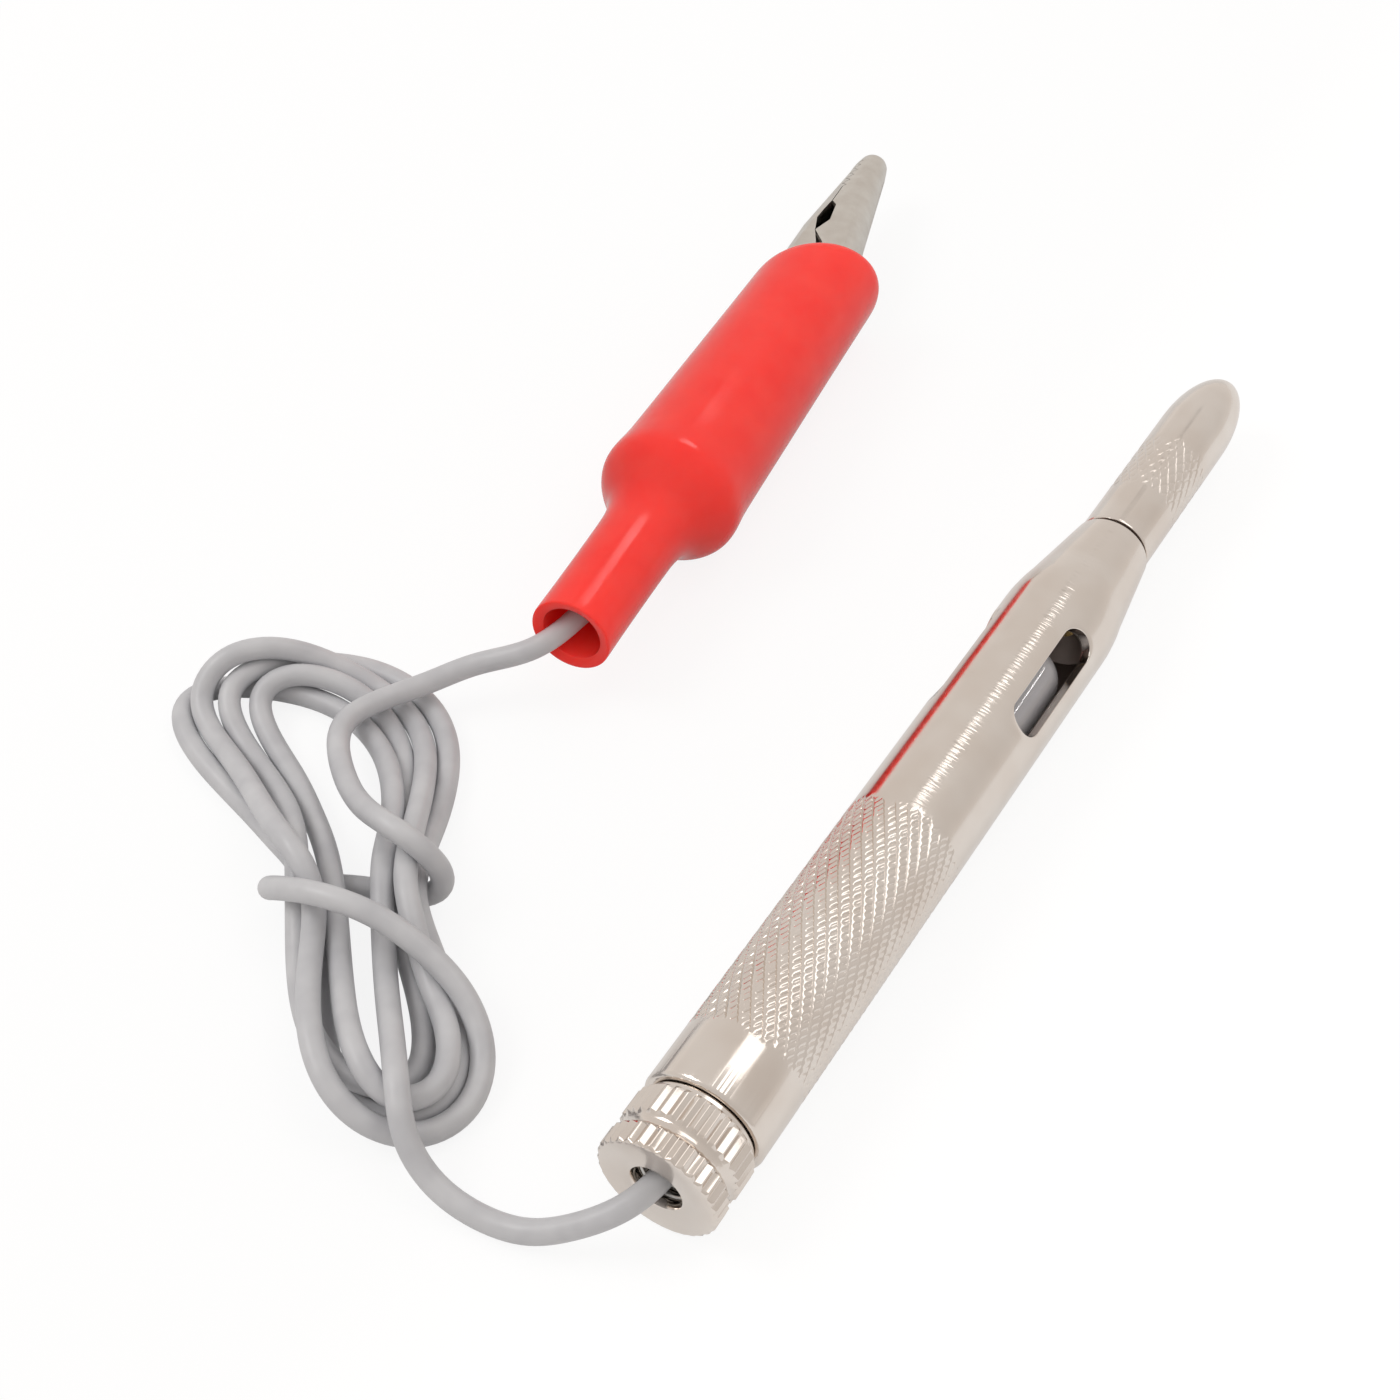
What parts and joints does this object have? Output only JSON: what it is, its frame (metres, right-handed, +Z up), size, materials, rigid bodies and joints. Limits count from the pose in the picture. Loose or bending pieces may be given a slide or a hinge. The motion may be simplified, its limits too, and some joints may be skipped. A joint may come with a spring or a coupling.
{
  "type": "automotive circuit tester",
  "caption": "Pen-shaped lamp tester with knurled metal barrel, screw-on needle guard, lamp windows and a tied earth lead ending in a booted crocodile clip.",
  "frame": {"origin": "on the surface it lies on, below the middle of the pen (barrel, nut and needle guard)", "axes": "+X along the pen from the tail nut to the needle guard, +Y across towards the earth lead and clip, +Z up"},
  "size_m": [0.1495, 0.0794, 0.016],
  "materials": {
    "nickel_plate": "polished nickel plate on turned brass",
    "clip_steel": "nickel-plated sheet, soft sheen",
    "needle_steel": "ground and polished",
    "spring_wire": "bright wire",
    "bare_brass": "turned",
    "solder": "dull",
    "copper": "bare strands",
    "lamp_glass": "clear",
    "black_fibre": "matt",
    "cord_pvc": "smooth satin",
    "boot_pvc": "soft, glossy"
  },
  "bodies": {
    "pen": {"barrel": "nickel_plate", "contact_spring": "spring_wire", "contact_bush": "black_fibre", "contact_stud": "bare_brass", "lamp_contact": "solder", "lamp_shell": "bare_brass", "lamp_supports": "spring_wire", "lamp_filament": "spring_wire", "lamp_glass": "lamp_glass", "lamp_seat": "bare_brass", "needle_holder": "bare_brass", "probe_needle": "needle_steel", "core_pen": "copper", "cord_pen": "cord_pvc", "cord_hank": "cord_pvc", "cord_clip": "cord_pvc", "core_clip": "copper", "boot": "boot_pvc", "clip_fixed_jaw": "clip_steel", "clip_rivet": "clip_steel", "clip_spring": "spring_wire"},
    "nut": {"tail_nut": "nickel_plate"},
    "guard": {"needle_guard": "nickel_plate"},
    "jaw": {"clip_moving_jaw": "clip_steel"}
  },
  "joints": [
    {"name": "tail_nut_turn", "type": "hinge", "parent": "pen", "child": "nut", "pos_m": [-0.061, 0, 0.006], "axis": [-1, 0, 0], "range_deg": [0, 720]},
    {"name": "guard_slide", "type": "slide", "parent": "pen", "child": "guard", "axis": [1, 0, 0], "range_m": [0, 0.06]},
    {"name": "clip_open", "type": "hinge", "parent": "pen", "child": "jaw", "pos_m": [0.0485, 0.04891, 0.0071], "axis": [-0.0229, -0.0028, -0.9997], "range_deg": [0, 16], "stiffness_Nm_per_rad": 0.12, "springref_deg": -20.05, "deforming": ["clip_spring"]}
  ]
}
